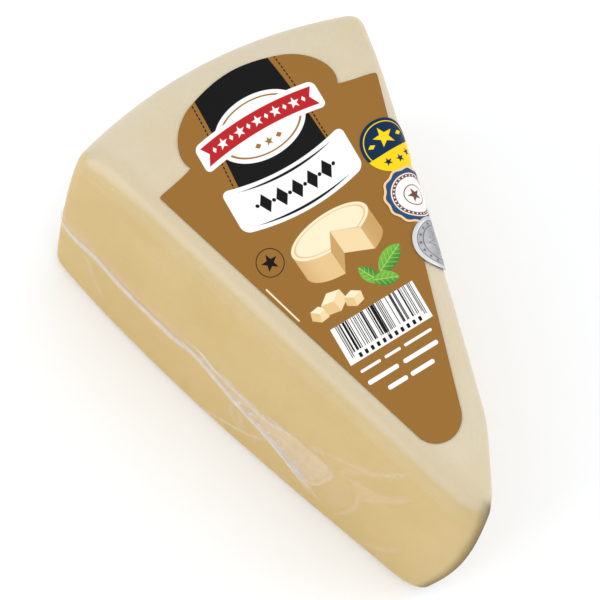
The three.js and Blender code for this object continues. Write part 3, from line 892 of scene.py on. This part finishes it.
# a small ring stamp, and a line of small print beside the edge
sx, sy = x + 16.3, y - 74.3
sheet.ink(INK, abs(sheet.length(sx, sy) - 3.5) - 0.11)
sheet.ink(INK, sheet.star(sx, sy, 2.3))
ax, ay = sheet.turned(x, y, -18.9, 63.8, -73.5)
for middle, half_width in ((-3.3, 2.4), (2.2, 3.4)):
    sheet.ink(CREAM, sheet.block(ax - middle, ay, half_width, 0.2, 0.15))
# the bar code's panel: bars of random widths, guard bars, and marks for its figures
MODULE = 0.22
BAR_SEED = 7.0  # picks which bars are black
sheet.ink(PAPER_WHITE, sheet.block(x - 0.15, y - 47.8, 12.0, 5.0))
column = sheet.node("Math", {"operation": "FLOOR"}, {0: x / MODULE})
chance = sheet.node("TexWhiteNoise", {"noise_dimensions": "1D"}, {"W": column + BAR_SEED})
sheet.ink(INK, abs(x - 0.4) - 10.2, abs(y - 49.0) - 3.8, 0.5 - chance)
for guard in (-10.2, 0.4, 11.0):
    sheet.ink(INK, sheet.block(abs(x - guard) - MODULE, y - 48.5, MODULE / 2, 4.3))
sheet.ink(INK, sheet.block((x - 0.4).repeat(1.74), y - 43.9, 0.42, 0.6, 0.2), abs(x - 0.4) - 9.6)
# three lines of plain marks where the small print stands
for line, half_height, marks in (
    (40.3, 0.36, ((-7.6, 2.9), (-1.2, 2.3), (6.2, 4.0))),
    (37.0, 0.56, ((-5.9, 4.4), (5.0, 5.0))),
    (33.5, 0.56, ((-3.8, 2.8), (3.4, 3.4))),
):
    for middle, half_width in marks:
        shape = sheet.block(x - middle, y - line, half_width, half_height, half_height * 0.9)
        sheet.ink(PAPER_WHITE, shape)

fibre = sheet.noise(sheet.place(), 2200, 2, 0.6)
pressed = sheet.noise(sheet.place(), 120, 2, 0.5)
printed = sheet.node(
    "HueSaturation", sockets={"Value": 0.97 + 0.06 * fibre, "Color": sheet.shade}
)
sheet.dress(label, sheet.shader({
    "Base Color": printed,
    "Roughness": 0.5 + 0.1 * fibre,
    "Specular IOR Level": 0.12,
    "Normal": sheet.bump(fibre * 0.15 + pressed, 0.0003, 0.3),
}))
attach(label, "root")
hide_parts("label")

# --- The seals ------------------------------------------------------------------------------
# Three round stickers of printed paper, one overlapping the next, set on the label's far
# edge and folded down over the wedge's rounded top edge: navy and yellow, a lobed rosette,
# and a metallised one pressed with a ring and a star.
SEAL_LIFT = 0.0002
SEAL_STEP = 0.00011
SEAL_TURN = 21.5  # the print stands straight with the label's, turned from the wedge's far edge
SEAL_SPAN = 0.017
SEAL_RINGS, SEAL_POINTS = 26, 168


def over_far_edge(along, over, lift):
    """Puts places on the top face, folded down over the far side's rounded edge."""
    quarter = TOP_EDGE * pi / 2
    bend = np.clip(over, 0, quarter) / TOP_EDGE
    out = -TOP_EDGE + np.minimum(over, 0) + (TOP_EDGE + lift) * np.sin(bend)
    down = np.maximum(over - quarter, 0)
    z = HEIGHT - TOP_EDGE - down + (TOP_EDGE + lift) * np.cos(bend)
    return in_row(*settle(side_direction(FAR) * along - side_inward(FAR) * out, z))


def seal(name, along, over, radius, level, lobes=0, lobe_depth=0.0, relief=None):
    """A round sticker: under side from its middle out, round its edge, and back over it."""
    angles = straight(0, 2 * pi, SEAL_POINTS)
    edge = np.exp(1j * angles) * (radius + lobe_depth * np.cos(lobes * angles))
    shares = np.linspace(0, 1, SEAL_RINGS)
    lift = SEAL_LIFT + level * SEAL_STEP
    rows, places = [], []
    for thick, spread in ((0, shares), (PAPER, shares[::-1])):
        for share in spread:
            spot = edge * share
            pressed = relief(spot) if relief and thick else 0
            rows.append(over_far_edge(along + spot.imag, over + spot.real, lift + thick + pressed))
            turned = spot * np.exp(-1j * radians(SEAL_TURN))
            places.append(np.stack([turned.real, turned.imag], axis=-1) / SEAL_SPAN + 0.5)
    return wrapped(name, np.array(rows), np.array(places))


def star(spot, radius, points=5, sharp=0.42):
    """How far a place lies outside a star, as a share of its size."""
    angle = np.angle(spot * -1j)
    wave = abs((angle * points / (2 * pi) + 0.5) % 1 - 0.5) * 2
    return abs(spot) - radius * (sharp + (1 - sharp) * (1 - wave))


def seal_print(name, ground):
    face = Print(name, ground)
    across, up, _ = face.parts(face.node("UVMap", {"uv_map": "print"}))
    return face, (across - 0.5) * (SEAL_SPAN * 1000), (up - 0.5) * (SEAL_SPAN * 1000)


def ring_places(reach, angle, span):
    """Places in axes that turn round the middle, and start again at every span of the angle."""
    around = angle.repeat(span)
    return reach * around.maths("SINE", around), reach * around.maths("COSINE", around)


def finish_seal(face, piece, sockets):
    """Gives a sticker its gloss and its place on the pack."""
    fibre = face.noise(face.place(), 1800, 2, 0.6)
    sockets = {"Base Color": face.shade, "Roughness": 0.32 + 0.12 * fibre,
               "Specular IOR Level": 0.12, "Normal": face.bump(fibre, 0.0001, 0.2), **sockets}
    face.dress(piece, face.shader(sockets))
    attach(piece, "root")
    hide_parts(piece.name.removesuffix("_printed"))


NAVY = colour(1, 39, 70)
YELLOW = colour(238, 203, 12)
two_tone = seal("seal_two_tone_printed", along=0.112, over=0.00085, radius=0.007, level=0)
face, x, y = seal_print("navy_and_yellow", NAVY)
face.ink(YELLOW, y + 1.3)
face.ink(YELLOW, abs(face.length(x, y) - 6.1) - 0.12, -y - 1.3)
face.ink(YELLOW, face.star(x, y - 2.3, 2.7))
for side in (-1, 1):
    face.ink(YELLOW, face.lozenge(x - 4.0 * side, y - 1.6, 1.0, 0.6))
for middle, low in ((-3.0, 3.5), (0.0, 4.1), (3.0, 3.5)):
    face.ink(NAVY, face.star(x - middle, y + low, 1.15))
finish_seal(face, two_tone, {})

PEACH = colour(238, 196, 148)
BLUE = colour(25, 74, 116)
CHESTNUT = colour(106, 68, 56)
OFF_WHITE = colour(235, 232, 230)
LOBES = 12
LOBE_DEPTH = 0.0002
rosette = seal("seal_rosette_printed", along=0.0984, over=0.0033, radius=0.0074, level=1,
               lobes=LOBES, lobe_depth=LOBE_DEPTH)
face, x, y = seal_print("blue_rosette", PEACH)
reach = face.length(x, y)
angle = x.maths("ARCTAN2", y, x) + radians(SEAL_TURN)
lobe = angle.maths("COSINE", angle * LOBES) * (LOBE_DEPTH * 1000)
face.ink(BLUE, reach - lobe - 6.85)
face.ink(CHESTNUT, reach - 5.9)
face.ink(OFF_WHITE, reach - 5.7)
face.ink(CHESTNUT, abs(reach - 5.05) - 0.38)
bead_x, bead_y = ring_places(reach, angle, pi / 16)
face.ink(OFF_WHITE, face.length(bead_x, bead_y - 5.05) - 0.2)
face.ink(CHESTNUT, abs(face.length(x + 0.2, y) - 2.6) - 0.12)
face.ink(CHESTNUT, face.star(x + 0.2, y, 1.9))
finish_seal(face, rosette, {})

SILVER = colour(156, 157, 159)
PALE_SILVER_AND_SHEEN = colour(195, 196, 198)
SILVER_LINE = colour(96, 97, 100)
RELIEF = 0.00006
MEDAL_RINGS = ((0.0063, 0.0003), (0.0043, 0.0002))  # the radius and width of each pressed ring
MEDAL_STAR = 0.003
MEDAL_SLOPE = 0.0002  # half the width over which the star rises


def medal_relief(spot):
    """The pressed rings and star, in metres above the sticker's face."""
    reach = abs(spot)
    rings = sum(np.exp(-((reach - radius) / width) ** 2) for radius, width in MEDAL_RINGS)
    raised = ease(star(spot, MEDAL_STAR), MEDAL_SLOPE, -MEDAL_SLOPE)
    return RELIEF * (rings + raised)


medal = seal("seal_medal_printed", along=0.0859, over=0.0062, radius=0.0069, level=2,
             relief=medal_relief)
face, x, y = seal_print("pressed_silver", SILVER)
reach = face.length(x, y)
# Painted sheen: streaks of paler silver round the rim stand for the glint of brushed foil; the
# middle is a flat paler silver.
spun_sheen = face.noise(face.node("CombineXYZ", sockets={0: x / reach, 1: y / reach}), 2.2, 3, 0.5)
face.shade = face.mix(SILVER, PALE_SILVER_AND_SHEEN, 0.5 * spun_sheen.fade(0.4, 0.8))
face.ink(PALE_SILVER_AND_SHEEN, 5.9 - reach)
face.ink(SILVER_LINE, abs(reach - 5.8) - 0.07)
face.ink(SILVER_LINE, abs(reach - 4.5) - 0.1)
star_x, star_y = ring_places(reach, x.maths("ARCTAN2", x, y), pi / 8)
face.ink(SILVER_LINE, face.star(star_x, star_y - 5.15, 0.5))
face.ink(SILVER_LINE, abs(face.star(x, y, 3.2)) - 0.07)
finish_seal(face, medal, {"Metallic": 0.9, "Roughness": 0.3})

# --- The studio -----------------------------------------------------------------------------
# A pale floor under one broad soft light from the near side, weaker ones from above and from
# behind, and white walls all round. The camera looks down on the wedge from its near side,
# slightly rolled.
floor_mesh = bmesh.new()
bmesh.ops.create_grid(floor_mesh, x_segments=1, y_segments=1, size=6)
floor_data = bpy.data.meshes.new("floor")
floor_mesh.to_mesh(floor_data)
floor_mesh.free()
floor = bpy.data.objects.new("floor", floor_data)
bpy.context.scene.collection.objects.link(floor)
ground = Finish("pale_floor")
speckle = ground.noise(ground.place(), 40, 2, 0.5)
ground.dress(floor, ground.shader({
    "Base Color": ground.mix(colour(248, 251, 255), colour(246, 249, 253), speckle),
    "Roughness": 0.9,
    "Specular IOR Level": 0.1,
}))

CAMERA_AIM = Vector((-0.016918, 0.009794, 0))
CAMERA_DISTANCE = 0.9
CAMERA_AZIMUTH, CAMERA_ELEVATION, CAMERA_ROLL = radians(32.712), radians(69.689), radians(27.005)
CAMERA_LENS = 207.054
back = Vector((
    sin(CAMERA_AZIMUTH) * cos(CAMERA_ELEVATION),
    -cos(CAMERA_AZIMUTH) * cos(CAMERA_ELEVATION),
    sin(CAMERA_ELEVATION),
))
level = Vector((0, 0, 1)).cross(back).normalized()
unrolled = back.cross(level)
right = level * cos(CAMERA_ROLL) + unrolled * sin(CAMERA_ROLL)
up = unrolled * cos(CAMERA_ROLL) - level * sin(CAMERA_ROLL)
lens = bpy.data.cameras.new("camera")
lens.lens = CAMERA_LENS
lens.sensor_width = 36
lens.clip_start, lens.clip_end = 0.01, 50
camera = bpy.data.objects.new("camera", lens)
camera.matrix_world = Matrix.Translation(CAMERA_AIM + back * CAMERA_DISTANCE) @ Matrix(
    (right, up, back)
).transposed().to_4x4()
bpy.context.scene.collection.objects.link(camera)
bpy.context.scene.camera = camera


def softbox(name, place, size, power):
    """A square light that faces the wedge."""
    lamp = bpy.data.lights.new(name, "AREA")
    lamp.shape = "SQUARE"
    lamp.size = size
    lamp.energy = power
    box = bpy.data.objects.new(name, lamp)
    box.location = place
    box.rotation_euler = (-Vector(place)).to_track_quat("-Z", "Y").to_euler()
    bpy.context.scene.collection.objects.link(box)


softbox("key_light", (-0.4, -1.5, 0.8), size=1.4, power=12)
softbox("top_light", (0.25, 0.5, 1.75), size=1.8, power=5.5)
softbox("back_light", (0.5, 1.5, 0.8), size=1.4, power=5)
world = bpy.data.worlds.new("white_walls")
world.use_nodes = True
walls = world.node_tree.nodes["Background"].inputs
walls["Color"].default_value = (1, 1, 1, 1)
walls["Strength"].default_value = 0.92
bpy.context.scene.world = world
bpy.context.scene.view_settings.view_transform = "Standard"
